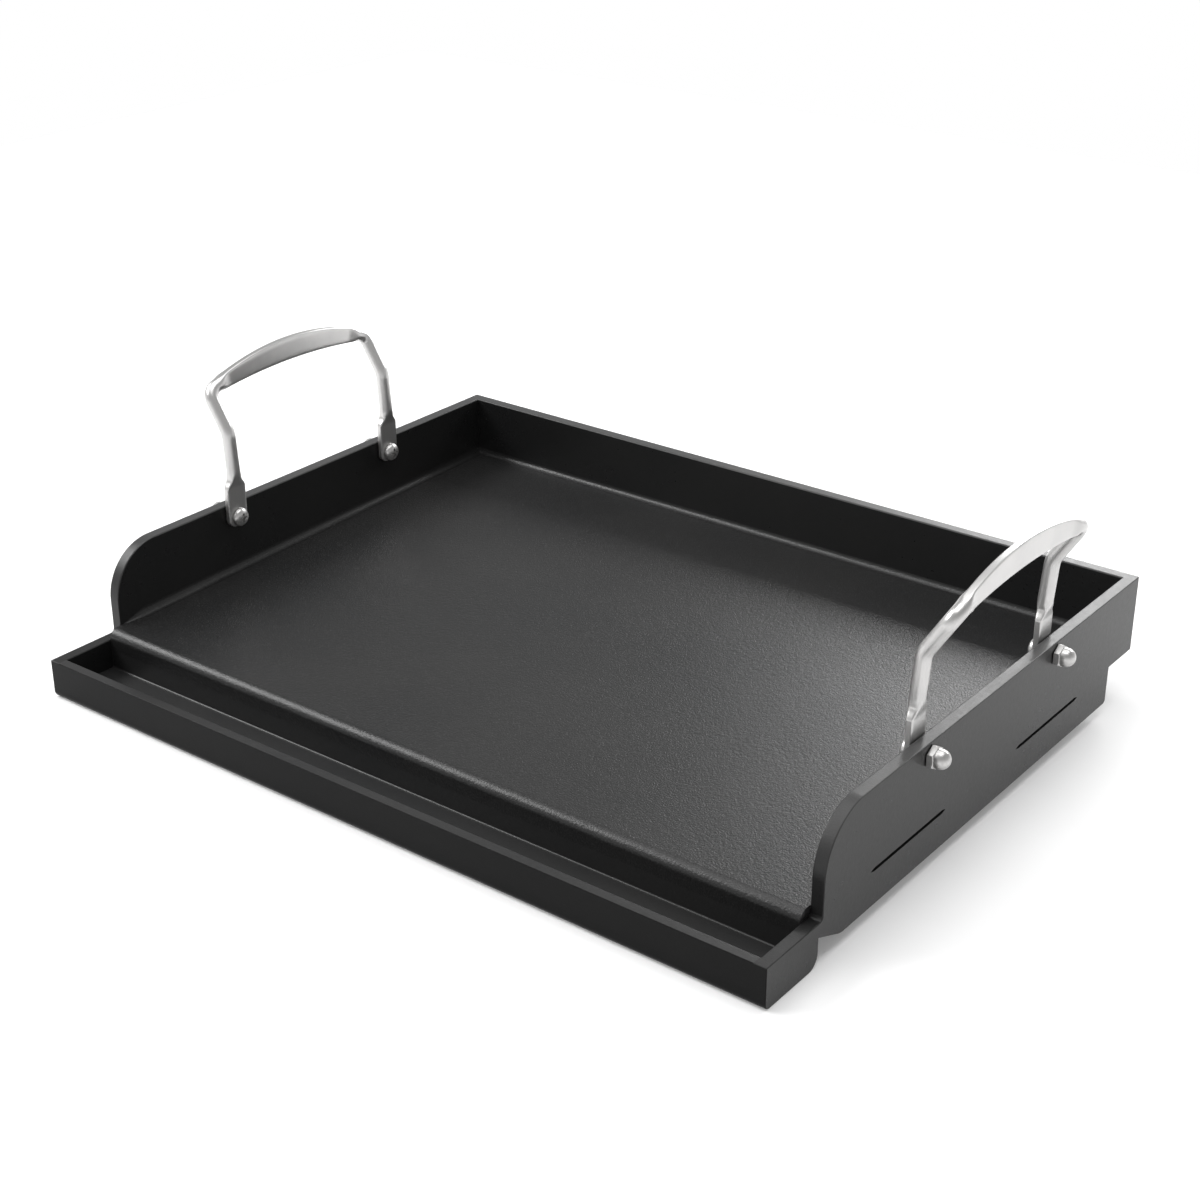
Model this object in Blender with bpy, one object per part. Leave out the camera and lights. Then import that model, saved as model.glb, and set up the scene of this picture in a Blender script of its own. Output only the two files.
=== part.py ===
"""Grill-top griddle plate with a grease trough and two bolted rod handles.

The body is five plates welded into a tray that is open at the front, where the
cooking plate rolls down into the trough. Each handle is one bent rod, pressed
flat at its ends and along its grip, and held by two screws and acorn nuts.

X is across the griddle, +Y runs from the trough to the rear wall, +Z is up.
The origin is under the middle of the object, level with the trough's underside.
"""

import math

import bmesh
import bpy
from mathutils import Matrix, Vector

# Overall body, in metres.
WIDTH = 0.432
DEPTH = 0.333
WALL_TOP_Z = 0.0669
PLATE_T = 0.00635
GAP = 0.0003

# Grease trough.
TROUGH_T = 0.0054
TROUGH_RIM_Z = 0.0210
TROUGH_INNER_REAR_Y = 0.0335
TROUGH_OUTER_REAR_Y = TROUGH_INNER_REAR_Y + TROUGH_T
TROUGH_FRONT_R = 0.0035
TROUGH_REAR_R = 0.0065
TROUGH_INNER_R = 0.0010
TROUGH_JOINT_Z = 0.0155

# Cooking plate: it falls towards the trough, then rolls over its front nose.
FLOOR_FRONT_Z = 0.0262
FLOOR_REAR_Z = 0.03265
NOSE_R = 0.0050

# Side panels.
PANEL_FRONT_Y = 0.0413
PANEL_CURVE_R = 0.0280
PANEL_FOOT_R = 0.0022
NOTCH_TOP_Z = 0.0137
SKIRT_FRONT_Y = 0.0563
SKIRT_REAR_Y = 0.3079
SKIRT_BOTTOM_Z = 0.0065
EDGE_R = 0.0008
SLIT_Z = 0.0249
SLIT_LENGTH = 0.0640
SLIT_HEIGHT = 0.0018
SLIT_DEPTH = 0.0035
SLIT_FRONT_Y = 0.1103
SLIT_REAR_Y = 0.2406
SLIT_TAPER = 0.0030

# Handles.
SCREW_FRONT_Y = 0.1246
SCREW_PITCH = 0.1190
SCREW_Z = 0.0599
TAB_T = 0.0036
TAB_W = 0.0128
TAB_BOTTOM_Z = 0.0550
TAB_SHOULDER_Z = 0.0765
ROD_START_Z = 0.0860
ROD_R = 0.0037
ROD_BEND_Z = 0.1071
ROD_BEND_OUT = 0.0015
ROD_BEND_R = 0.0120
GRIP_OUT = 0.0143
GRIP_END_Z = 0.1275
GRIP_MID_Z = 0.1356
GRIP_W = 0.0127
GRIP_T = 0.0040
GRIP_CORNER_R = 0.0070
GRIP_CORNER_REACH = 0.95 * GRIP_CORNER_R
GRIP_PRESS_SHARE = 0.17
TAB_CORNER_R = 0.0038
TAB_CORNER_STEPS = 4
SHOULDER_STEPS = 9
GRIP_STEPS = 14
HANDLE_SIDES = 16

# Fasteners, M6.
SHANK_R = 0.0027
NUT_BORE_R = 0.0030
CLEARANCE_R = 0.0033
HEAD_R = 0.0050
HEAD_H = 0.0036
HEAD_RIM_H = 0.0011
HEAD_RINGS = 6
RECESS_LENGTH = 0.0052
RECESS_WIDTH = 0.0012
RECESS_DEPTH = 0.0020
NUT_AF = 0.0098
NUT_HEX_H = 0.0032
NUT_H = 0.0090
NUT_DOME_R = 0.0046
NUT_DOME_RINGS = 8
NUT_CHAMFER = 0.0006
NUT_BORE_DEPTH = 0.0062
SHANK_END = 0.0052
ROUND_SIDES = 24
ARC_STEP = math.radians(9.0)
BEND_STEP = math.radians(11.0)

# Values worked out from the ones above.
HALF_WIDTH = WIDTH / 2
INNER_X = HALF_WIDTH - PLATE_T
MIDDLE_Y = DEPTH / 2
SCREW_REAR_Y = SCREW_FRONT_Y + SCREW_PITCH
TAB_X = INNER_X - GAP - TAB_T / 2
HEAD_SEAT_X = TAB_X - TAB_T / 2 - GAP
NUT_SEAT_X = HALF_WIDTH + GAP

COATING = ("coating", (0.035, 0.036, 0.038), 0.45, 0.35)
STEEL = ("handle_steel", (0.62, 0.61, 0.59), 0.28, 1.0)
ZINC = ("fastener_steel", (0.66, 0.65, 0.63), 0.22, 1.0)


def clear_scene():
    """Remove every object that the file holds."""
    for item in list(bpy.data.objects):
        bpy.data.objects.remove(item, do_unlink=True)


def make_material(finish):
    """Return the Principled material of a finish, made once."""
    name, colour, roughness, metallic = finish
    material = bpy.data.materials.get(name)
    if material is None:
        material = bpy.data.materials.new(name)
        material.use_nodes = True
        shader = material.node_tree.nodes["Principled BSDF"]
        shader.inputs["Base Color"].default_value = (*colour, 1.0)
        shader.inputs["Roughness"].default_value = roughness
        shader.inputs["Metallic"].default_value = metallic
    return material


def add_object(name, bm, finish=None):
    """Turn a bmesh into a named object whose origin is the part's own origin."""
    bmesh.ops.recalc_face_normals(bm, faces=bm.faces)
    mesh = bpy.data.meshes.new(name)
    bm.to_mesh(mesh)
    bm.free()
    item = bpy.data.objects.new(name, mesh)
    bpy.context.scene.collection.objects.link(item)
    if finish is not None:
        mesh.materials.append(make_material(finish))
    return item


def add_cutter(name, bm):
    """Add a hidden tool body for a Boolean modifier."""
    item = add_object(name, bm)
    item.hide_render = True
    item.display_type = "WIRE"
    return item


def add_boolean(item, tool, operation):
    """Cut, join or intersect an object with a tool body."""
    modifier = item.modifiers.new(tool.name, "BOOLEAN")
    modifier.operation = operation
    modifier.solver = "EXACT"
    modifier.object = tool


def shade_round(item):
    """Shade an object smooth, with its real edges kept sharp."""
    item.data.shade_smooth()
    item.data.set_sharp_from_angle(angle=math.radians(35.0))


def rounded(corners):
    """Return an outline in (y, z) from corners given as (y, z, radius)."""
    points = []
    count = len(corners)
    for index, (y, z, radius) in enumerate(corners):
        corner = Vector((y, z))
        if radius == 0:
            points.append(corner)
            continue
        before = (Vector(corners[index - 1][:2]) - corner).normalized()
        after = (Vector(corners[(index + 1) % count][:2]) - corner).normalized()
        half = before.angle(after) / 2
        centre = corner + (before + after).normalized() * (radius / math.sin(half))
        start = corner + before * (radius / math.tan(half)) - centre
        sweep = math.pi - 2 * half
        if start.x * after.y - start.y * after.x < 0:
            sweep = -sweep
        steps = max(2, math.ceil(abs(sweep) / ARC_STEP))
        for step in range(steps + 1):
            points.append(centre + Matrix.Rotation(sweep * step / steps, 2) @ start)
    return points


def extrude_outline(points, x_from, x_to):
    """Return a bmesh of a (y, z) outline extruded from one X to another."""
    bm = bmesh.new()
    corners = [bm.verts.new((x_from, y - MIDDLE_Y, z)) for y, z in points]
    face = bm.faces.new(corners)
    extruded = bmesh.ops.extrude_face_region(bm, geom=[face])
    moved = [part for part in extruded["geom"] if isinstance(part, bmesh.types.BMVert)]
    bmesh.ops.translate(bm, verts=moved, vec=(x_to - x_from, 0, 0))
    return bm


def revolve(profile, sides=ROUND_SIDES):
    """Return a bmesh of a profile of (along X, radius) points turned about X."""
    bm = bmesh.new()
    line = [bm.verts.new((along, 0, radius)) for along, radius in profile]
    edges = [bm.edges.new(pair) for pair in zip(line, line[1:])]
    bmesh.ops.spin(
        bm,
        geom=line + edges,
        cent=(0, 0, 0),
        axis=(1, 0, 0),
        angle=2 * math.pi,
        steps=sides,
    )
    bmesh.ops.remove_doubles(bm, verts=bm.verts, dist=1e-7)
    return bm


def at_screw(bm, side, y):
    """Move a bmesh from the origin to a screw's axis, facing the given side."""
    bmesh.ops.scale(bm, vec=(side, 1, 1), verts=bm.verts)
    bmesh.ops.translate(bm, vec=(0, y - MIDDLE_Y, SCREW_Z), verts=bm.verts)


def floor_height(y):
    """Return the height of the cooking surface at a distance from the front."""
    front = TROUGH_INNER_REAR_Y + NOSE_R
    rear = DEPTH - PLATE_T
    return FLOOR_FRONT_Z + (FLOOR_REAR_Z - FLOOR_FRONT_Z) * (y - front) / (rear - front)


def build_cooking_plate():
    """Make the sloping plate, with the nose that drops into the trough."""
    rear_y = DEPTH - PLATE_T - GAP
    drop_y = TROUGH_INNER_REAR_Y
    inner_y = drop_y + PLATE_T
    bottom_z = TROUGH_JOINT_Z + GAP / 2
    outline = rounded([
        (drop_y, bottom_z, 0),
        (drop_y, floor_height(drop_y), NOSE_R),
        (rear_y, floor_height(rear_y), 0),
        (rear_y, floor_height(rear_y) - PLATE_T, 0),
        (inner_y, floor_height(inner_y) - PLATE_T, 0),
        (inner_y, bottom_z, 0),
    ])
    bm = extrude_outline(outline, GAP - INNER_X, INNER_X - GAP)
    plate = add_object("cooking_plate", bm, COATING)
    shade_round(plate)


def build_grease_trough():
    """Make the channel across the front that catches the grease."""
    top_z = TROUGH_JOINT_Z - GAP / 2
    outline = rounded([
        (0, TROUGH_RIM_Z, EDGE_R),
        (0, 0, TROUGH_FRONT_R),
        (TROUGH_OUTER_REAR_Y, 0, TROUGH_REAR_R),
        (TROUGH_OUTER_REAR_Y, top_z, 0),
        (TROUGH_INNER_REAR_Y, top_z, 0),
        (TROUGH_INNER_REAR_Y, TROUGH_T, TROUGH_INNER_R),
        (TROUGH_T, TROUGH_T, TROUGH_INNER_R),
        (TROUGH_T, TROUGH_RIM_Z, EDGE_R),
    ])
    trough = add_object("grease_trough", extrude_outline(outline, GAP - INNER_X, INNER_X - GAP), COATING)
    shade_round(trough)


def build_rear_wall():
    """Make the splash wall behind the cooking plate."""
    bottom_z = FLOOR_REAR_Z - PLATE_T
    outline = rounded([
        (DEPTH - PLATE_T, bottom_z, 0),
        (DEPTH, bottom_z, EDGE_R),
        (DEPTH, WALL_TOP_Z, EDGE_R),
        (DEPTH - PLATE_T, WALL_TOP_Z, EDGE_R),
    ])
    wall = add_object("rear_wall", extrude_outline(outline, GAP - INNER_X, INNER_X - GAP), COATING)
    shade_round(wall)


def slit_cutter(name, side, middle_y):
    """Return a flat tool with pointed ends, standing in the outer face."""
    half = SLIT_LENGTH / 2
    full = half - SLIT_TAPER
    outline = [
        (middle_y - half, SLIT_Z),
        (middle_y - full, SLIT_Z - SLIT_HEIGHT / 2),
        (middle_y + full, SLIT_Z - SLIT_HEIGHT / 2),
        (middle_y + half, SLIT_Z),
        (middle_y + full, SLIT_Z + SLIT_HEIGHT / 2),
        (middle_y - full, SLIT_Z + SLIT_HEIGHT / 2),
    ]
    x_from = side * (HALF_WIDTH - SLIT_DEPTH)
    x_to = side * (HALF_WIDTH + SLIT_DEPTH)
    return add_cutter(name, extrude_outline(outline, x_from, x_to))


def hole_cutter(name, side, y, x_from, x_to):
    """Return a round tool on a screw's axis for its clearance hole."""
    bm = revolve([(x_from, 0), (x_from, CLEARANCE_R), (x_to, CLEARANCE_R), (x_to, 0)])
    at_screw(bm, side, y)
    return add_cutter(name, bm)


def build_side_panel(name, side):
    """Make one side: trough end, curved shoulder, wall and skirt in one plate."""
    step_z = FLOOR_REAR_Z - PLATE_T
    outline = rounded([
        (0, TROUGH_RIM_Z, EDGE_R),
        (0, 0, TROUGH_FRONT_R),
        (TROUGH_OUTER_REAR_Y, 0, TROUGH_REAR_R),
        (TROUGH_OUTER_REAR_Y, NOTCH_TOP_Z, EDGE_R),
        (SKIRT_FRONT_Y, SKIRT_BOTTOM_Z, PANEL_FOOT_R),
        (SKIRT_REAR_Y, SKIRT_BOTTOM_Z, PANEL_FOOT_R),
        (SKIRT_REAR_Y, step_z, EDGE_R),
        (DEPTH, step_z, EDGE_R),
        (DEPTH, WALL_TOP_Z, EDGE_R),
        (PANEL_FRONT_Y, WALL_TOP_Z, PANEL_CURVE_R),
        (PANEL_FRONT_Y, TROUGH_RIM_Z, PANEL_FOOT_R),
    ])
    panel = add_object(name, extrude_outline(outline, side * INNER_X, side * HALF_WIDTH), COATING)
    shade_round(panel)
    for place, y in (("front", SCREW_FRONT_Y), ("rear", SCREW_REAR_Y)):
        tool_name = f"{name}_{place}_hole"
        tool = hole_cutter(tool_name, side, y, INNER_X - PLATE_T, HALF_WIDTH + PLATE_T)
        add_boolean(panel, tool, "DIFFERENCE")
    for place, y in (("front", SLIT_FRONT_Y), ("rear", SLIT_REAR_Y)):
        add_boolean(panel, slit_cutter(f"{name}_{place}_slit", side, y), "DIFFERENCE")


def smooth_step(value):
    """Return 0 below 0, 1 above 1, and an even ease between them."""
    value = min(1.0, max(0.0, value))
    return value * value * (3 - 2 * value)


def fillet_path(points, radii):
    """Return a polyline whose inner corners are arcs of the given radii."""
    path = [points[0]]
    for before, corner, after, radius in zip(points, points[1:], points[2:], radii):
        to_before = (before - corner).normalized()
        to_after = (after - corner).normalized()
        half = to_before.angle(to_after) / 2
        centre = corner + (to_before + to_after).normalized() * (radius / math.sin(half))
        start = corner + to_before * (radius / math.tan(half)) - centre
        end = corner + to_after * (radius / math.tan(half)) - centre
        sweep = start.angle(end)
        steps = max(3, math.ceil(sweep / BEND_STEP))
        for step in range(steps + 1):
            path.append(centre + Matrix.Rotation(sweep * step / steps, 3, start.cross(end)) @ start)
    path.append(points[-1])
    return path


def leg_path():
    """Return the centre line of a front leg, from its tab up to its grip."""
    lean_x = TAB_X + ROD_BEND_OUT
    grip_x = TAB_X + GRIP_OUT
    y = SCREW_FRONT_Y - MIDDLE_Y
    inwards = GRIP_CORNER_REACH
    points = [
        Vector((TAB_X, y, ROD_START_Z)),
        Vector((lean_x, y, ROD_BEND_Z)),
        Vector((grip_x, y, GRIP_END_Z)),
        Vector((grip_x, y + inwards, grip_height(inwards))),
    ]
    return fillet_path(points, (ROD_BEND_R, GRIP_CORNER_R))


def grip_height(along):
    """Return the height of the grip's centre line at a distance from a leg."""
    off_middle = along / (SCREW_PITCH / 2) - 1
    return GRIP_MID_Z - (GRIP_MID_Z - GRIP_END_Z) * off_middle * off_middle


def half_path():
    """Return stations of the front half as (centre, width, thickness, across)."""
    stations = []
    across_y = Vector((0, 1, 0))
    up = Vector((0, 0, 1))
    tab_y = SCREW_FRONT_Y - MIDDLE_Y
    for step in range(TAB_CORNER_STEPS + 1):
        angle = math.radians(90) * step / TAB_CORNER_STEPS
        narrow = TAB_CORNER_R * (1 - math.sin(angle))
        z = TAB_BOTTOM_Z + TAB_CORNER_R * (1 - math.cos(angle))
        stations.append((Vector((TAB_X, tab_y, z)), TAB_W - 2 * narrow, TAB_T, across_y))
    for step in range(SHOULDER_STEPS):
        z = TAB_SHOULDER_Z + (ROD_START_Z - TAB_SHOULDER_Z) * step / SHOULDER_STEPS
        blend = smooth_step(step / SHOULDER_STEPS)
        width = TAB_W + (2 * ROD_R - TAB_W) * blend
        thickness = TAB_T + (2 * ROD_R - TAB_T) * blend
        stations.append((Vector((TAB_X, tab_y, z)), width, thickness, across_y))
    leg = leg_path()
    for point, after in zip(leg, leg[1:] + leg[-1:]):
        turned = smooth_step((point.y - tab_y) / GRIP_CORNER_R)
        across = across_y.lerp(-up, turned).normalized()
        stations.append((point, 2 * ROD_R, 2 * ROD_R, across))
    grip_x = TAB_X + GRIP_OUT
    reach = leg[-1].y - tab_y
    for step in range(1, GRIP_STEPS + 1):
        share = step / GRIP_STEPS
        along = reach + (SCREW_PITCH / 2 - reach) * share
        swell = 1 - (1 - share) * (1 - share)
        width = 2 * ROD_R + (GRIP_W - 2 * ROD_R) * swell
        pressed = smooth_step(share / GRIP_PRESS_SHARE)
        thickness = 2 * ROD_R + (GRIP_T - 2 * ROD_R) * pressed
        centre = Vector((grip_x, tab_y + along, grip_height(along)))
        stations.append((centre, width, thickness, -up))
    return stations


def section_offsets(width, thickness):
    """Return a pressed rod's section: flat faces with rounded sides."""
    offsets = []
    flat = (width - thickness) / 2
    for side in range(HANDLE_SIDES):
        angle = 2 * math.pi * side / HANDLE_SIDES
        across = math.cos(angle) * thickness / 2
        if abs(math.cos(angle)) > 1e-6:
            across += math.copysign(flat, math.cos(angle))
        offsets.append((across, math.sin(angle) * thickness / 2))
    return offsets


def build_handle(name, side):
    """Make one handle as a single rod, pressed flat at its tabs and its grip."""
    front = half_path()
    mirror = Matrix.Diagonal((1, -1, 1))
    middle = Vector((0, 2 * (SCREW_FRONT_Y + SCREW_PITCH / 2 - MIDDLE_Y), 0))
    rear = [(mirror @ c + middle, w, t, mirror @ a) for c, w, t, a in reversed(front[:-1])]
    stations = [(Vector((side * c.x, c.y, c.z)), w, t, a) for c, w, t, a in front + rear]
    bm = bmesh.new()
    rings = []
    for index, (centre, width, thickness, across) in enumerate(stations):
        before = stations[max(0, index - 1)][0]
        after = stations[min(len(stations) - 1, index + 1)][0]
        along = (after - before).normalized()
        across = (across - along * across.dot(along)).normalized()
        out = along.cross(across)
        ring = [
            bm.verts.new(centre + across * u + out * v)
            for u, v in section_offsets(width, thickness)
        ]
        rings.append(ring)
    for ring, following in zip(rings, rings[1:]):
        for index in range(HANDLE_SIDES):
            ahead = (index + 1) % HANDLE_SIDES
            bm.faces.new((ring[index], ring[ahead], following[ahead], following[index]))
    bm.faces.new(rings[0])
    bm.faces.new(rings[-1])
    handle = add_object(name, bm, STEEL)
    shade_round(handle)
    for place, y in (("front", SCREW_FRONT_Y), ("rear", SCREW_REAR_Y)):
        tool = hole_cutter(f"{name}_{place}_hole", side, y, TAB_X - PLATE_T, TAB_X + PLATE_T)
        add_boolean(handle, tool, "DIFFERENCE")


def build_screw(name, side, y):
    """Make a domed screw whose head sits on the tab and whose shank meets the nut."""
    profile = [
        (HALF_WIDTH + SHANK_END, 0),
        (HALF_WIDTH + SHANK_END, SHANK_R),
        (HEAD_SEAT_X, SHANK_R),
        (HEAD_SEAT_X, HEAD_R),
        (HEAD_SEAT_X - HEAD_RIM_H, HEAD_R),
    ]
    for ring in range(1, HEAD_RINGS + 1):
        angle = math.radians(90) * ring / HEAD_RINGS
        rise = HEAD_RIM_H + (HEAD_H - HEAD_RIM_H) * math.sin(angle)
        profile.append((HEAD_SEAT_X - rise, HEAD_R * math.cos(angle) if ring < HEAD_RINGS else 0))
    bm = revolve(profile)
    at_screw(bm, side, y)
    screw = add_object(name, bm, ZINC)
    shade_round(screw)
    top_x = HEAD_SEAT_X - HEAD_H
    arms = (
        ("level_slot", RECESS_LENGTH, RECESS_WIDTH),
        ("upright_slot", RECESS_WIDTH, RECESS_LENGTH),
    )
    for arm, length_y, length_z in arms:
        tool = bmesh.new()
        bmesh.ops.create_cube(tool, size=1)
        bmesh.ops.scale(tool, vec=(2 * RECESS_DEPTH, length_y, length_z), verts=tool.verts)
        bmesh.ops.translate(tool, vec=(top_x, 0, 0), verts=tool.verts)
        at_screw(tool, side, y)
        add_boolean(screw, add_cutter(f"{name}_{arm}", tool), "DIFFERENCE")


def build_acorn_nut(name, side, y):
    """Make a domed nut: a hexagon with chamfered corners, a dome and a blind bore."""
    across_corners = NUT_AF / math.cos(math.radians(30)) / 2
    middle = Matrix.Translation((NUT_SEAT_X + NUT_HEX_H / 2, 0, 0))
    bm = bmesh.new()
    bmesh.ops.create_cone(
        bm,
        cap_ends=True,
        segments=6,
        radius1=across_corners,
        radius2=across_corners,
        depth=NUT_HEX_H,
        matrix=middle @ Matrix.Rotation(math.radians(90), 4, "Y"),
    )
    at_screw(bm, side, y)
    nut = add_object(name, bm, ZINC)
    end_x = NUT_SEAT_X + NUT_HEX_H
    limits = revolve([
        (NUT_SEAT_X - GAP, 0),
        (NUT_SEAT_X - GAP, across_corners + NUT_CHAMFER),
        (end_x - NUT_CHAMFER, across_corners + NUT_CHAMFER),
        (end_x - NUT_CHAMFER, across_corners),
        (end_x + GAP, NUT_AF / 2 - GAP),
        (end_x + GAP, 0),
    ])
    at_screw(limits, side, y)
    add_boolean(nut, add_cutter(f"{name}_chamfer", limits), "INTERSECT")
    dome_base = end_x - NUT_CHAMFER
    profile = [(dome_base, 0), (dome_base, NUT_DOME_R)]
    straight = NUT_H - NUT_HEX_H + NUT_CHAMFER - NUT_DOME_R
    for ring in range(NUT_DOME_RINGS + 1):
        angle = math.radians(90) * ring / NUT_DOME_RINGS
        radius = NUT_DOME_R * math.cos(angle) if ring < NUT_DOME_RINGS else 0
        profile.append((dome_base + straight + NUT_DOME_R * math.sin(angle), radius))
    dome = revolve(profile)
    at_screw(dome, side, y)
    add_boolean(nut, add_cutter(f"{name}_dome", dome), "UNION")
    bore = revolve([
        (NUT_SEAT_X - GAP, 0),
        (NUT_SEAT_X - GAP, NUT_BORE_R),
        (NUT_SEAT_X + NUT_BORE_DEPTH, NUT_BORE_R),
        (NUT_SEAT_X + NUT_BORE_DEPTH, 0),
    ])
    at_screw(bore, side, y)
    add_boolean(nut, add_cutter(f"{name}_bore", bore), "DIFFERENCE")


def main():
    """Build the griddle."""
    clear_scene()
    build_cooking_plate()
    build_grease_trough()
    build_rear_wall()
    for label, side in (("left", -1), ("right", 1)):
        build_side_panel(f"{label}_side_panel", side)
        build_handle(f"{label}_handle", side)
        for place, y in (("front", SCREW_FRONT_Y), ("rear", SCREW_REAR_Y)):
            build_screw(f"{label}_{place}_screw", side, y)
            build_acorn_nut(f"{label}_{place}_acorn_nut", side, y)


main()
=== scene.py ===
"""Visual model of a grill-top griddle plate with a grease trough and rod handles.

The pan is drawn as one welded shell, so that its rims are rounded and mitred in one
go, and it is then split along its weld lines into the plates it is made from.
"""

import logging
import math
from contextlib import contextmanager
from dataclasses import dataclass
from enum import Enum
from typing import Any, Callable, Dict, Iterator, List, Optional, Sequence, Tuple

import bmesh
import bpy
from mathutils import Matrix, Vector

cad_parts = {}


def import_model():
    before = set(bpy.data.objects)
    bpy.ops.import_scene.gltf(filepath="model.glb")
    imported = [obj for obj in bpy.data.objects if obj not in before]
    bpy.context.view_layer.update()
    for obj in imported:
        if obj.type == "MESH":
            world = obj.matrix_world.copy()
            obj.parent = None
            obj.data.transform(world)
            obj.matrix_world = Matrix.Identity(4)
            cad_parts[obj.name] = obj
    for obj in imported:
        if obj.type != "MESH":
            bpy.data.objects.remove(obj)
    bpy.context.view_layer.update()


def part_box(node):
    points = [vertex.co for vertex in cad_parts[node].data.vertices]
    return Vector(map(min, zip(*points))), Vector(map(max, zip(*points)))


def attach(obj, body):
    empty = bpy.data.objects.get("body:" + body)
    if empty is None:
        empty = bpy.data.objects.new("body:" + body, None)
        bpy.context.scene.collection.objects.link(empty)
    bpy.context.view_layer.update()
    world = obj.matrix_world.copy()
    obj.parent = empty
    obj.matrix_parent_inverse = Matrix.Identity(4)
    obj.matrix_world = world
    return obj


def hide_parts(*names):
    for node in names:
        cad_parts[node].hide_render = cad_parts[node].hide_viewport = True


LOG = logging.getLogger("griddle_plate")
BODY = "root"
TINY = 1e-5
MERGE = 1e-6
FAINT_BUMP = (0.05, 0.00002)

Point = Tuple[float, float]
Rings = List[List[Vector]]


class Side(Enum):
    """A side of the griddle, as its sign along X."""

    LEFT = -1
    RIGHT = 1


class Slot(Enum):
    """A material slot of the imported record."""

    COATING = "coating"
    HANDLE = "handle_steel"
    FASTENER = "fastener_steel"


# Shader graphs


@dataclass
class Wire:
    """A graph's number socket, which sums are written on as Python expressions."""

    graph: "Graph"
    socket: bpy.types.NodeSocket

    def _sum(self, operation: str, first: Any, second: Any) -> "Wire":
        """Add a Math node.

        Args:
            operation: The Math node's operation.
            first: The first number or Wire.
            second: The second number or Wire.

        Returns:
            The result as a Wire.
        """
        node = self.graph.node("ShaderNodeMath", {"operation": operation}, {0: first, 1: second})
        return Wire(self.graph, node.outputs[0])

    def __add__(self, other: Any) -> "Wire":
        """Return self + other."""
        return self._sum("ADD", self, other)

    def __sub__(self, other: Any) -> "Wire":
        """Return self - other."""
        return self._sum("SUBTRACT", self, other)

    def __rsub__(self, other: Any) -> "Wire":
        """Return other - self."""
        return self._sum("SUBTRACT", other, self)

    def __mul__(self, other: Any) -> "Wire":
        """Return self * other."""
        return self._sum("MULTIPLY", self, other)

    def between(self, low: float, high: float) -> "Wire":
        """Return 0 at low, 1 at high and an even ease between them.

        Args:
            low: The value that gives 0.
            high: The value that gives 1.

        Returns:
            The eased mask as a Wire.
        """
        node = self.graph.node(
            "ShaderNodeMapRange",
            {"interpolation_type": "SMOOTHSTEP"},
            {"Value": self, "From Min": low, "From Max": high},
        )
        return Wire(self.graph, node.outputs["Result"])


class Graph:
    """A new material or world and the nodes that are added to it."""

    def __init__(self, name: str, kind: str = "materials") -> None:
        """Make an empty graph.

        Args:
            name: The name of the material or world.
            kind: materials or worlds.
        """
        self.owner = getattr(bpy.data, kind).new(name)
        self.owner.use_nodes = True
        self.tree = self.owner.node_tree
        self.tree.nodes.clear()

    def node(
        self,
        kind: str,
        settings: Optional[Dict[str, Any]] = None,
        inputs: Optional[Dict[Any, Any]] = None,
    ) -> bpy.types.Node:
        """Add a node, with its settings first and then its sockets.

        Args:
            kind: The node's type.
            settings: Its properties, and a ramp's stops as (place, colour) pairs.
            inputs: The value, socket or Wire of each input, by name or number.

        Returns:
            The new node.
        """
        made = self.tree.nodes.new(kind)
        for key, value in (settings or {}).items():
            if key != "stops":
                setattr(made, key, value)
                continue
            points = made.color_ramp.elements
            while len(points) < len(value):
                points.new(1.0)
            for point, (place, colour) in zip(points, value):
                point.position = place
                point.color = colour
        for key, value in (inputs or {}).items():
            if isinstance(value, Wire):
                value = value.socket
            if isinstance(value, bpy.types.NodeSocket):
                self.tree.links.new(value, made.inputs[key])
            else:
                made.inputs[key].default_value = value
        return made

    def place(self) -> bpy.types.NodeSocket:
        """Return the point on the object, in metres."""
        return self.node("ShaderNodeTexCoord").outputs["Object"]

    def height(self, place: bpy.types.NodeSocket) -> Wire:
        """Return how high a point is, in metres.

        Args:
            place: The point on the object.

        Returns:
            Its Z as a Wire.
        """
        return Wire(self, self.node("ShaderNodeSeparateXYZ", None, {0: place}).outputs[2])

    def noise(
        self, place: bpy.types.NodeSocket, scale: float, detail: float = 2.0, rough: float = 0.5
    ) -> Wire:
        """Add a noise texture.

        Args:
            place: The point that it reads.
            scale: Features per metre.
            detail: How many finer layers it has.
            rough: How strong the finer layers are.

        Returns:
            The noise as a Wire, from 0 to 1.
        """
        inputs = {"Vector": place, "Scale": scale, "Detail": detail, "Roughness": rough}
        return Wire(self, self.node("ShaderNodeTexNoise", None, inputs).outputs["Fac"])

    def mix(self, share: Any, first: Any, second: Any) -> bpy.types.NodeSocket:
        """Blend two colours.

        Args:
            share: How much of the second colour shows.
            first: The first colour or socket.
            second: The second colour or socket.

        Returns:
            The blended colour.
        """
        node = self.node("ShaderNodeMix", {"data_type": "RGBA"}, {0: share, 6: first, 7: second})
        return node.outputs[2]

    def bump(self, height: Wire, strength: float, distance: float) -> bpy.types.NodeSocket:
        """Turn a height into a bumped normal.

        Args:
            height: The height, from 0 to 1.
            strength: How much of the bump shows.
            distance: The height of a full step, in metres.

        Returns:
            The normal.
        """
        inputs = {"Strength": strength, "Distance": distance, "Height": height}
        return self.node("ShaderNodeBump", None, inputs).outputs["Normal"]

    def finish(self, inputs: Dict[str, Any]) -> bpy.types.Material:
        """Close the graph with a Principled shader.

        Args:
            inputs: The value, socket or Wire of each shader input.

        Returns:
            The finished material.
        """
        shader = self.node("ShaderNodeBsdfPrincipled", None, inputs)
        self.node("ShaderNodeOutputMaterial", None, {"Surface": shader.outputs[0]})
        return self.owner


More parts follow.
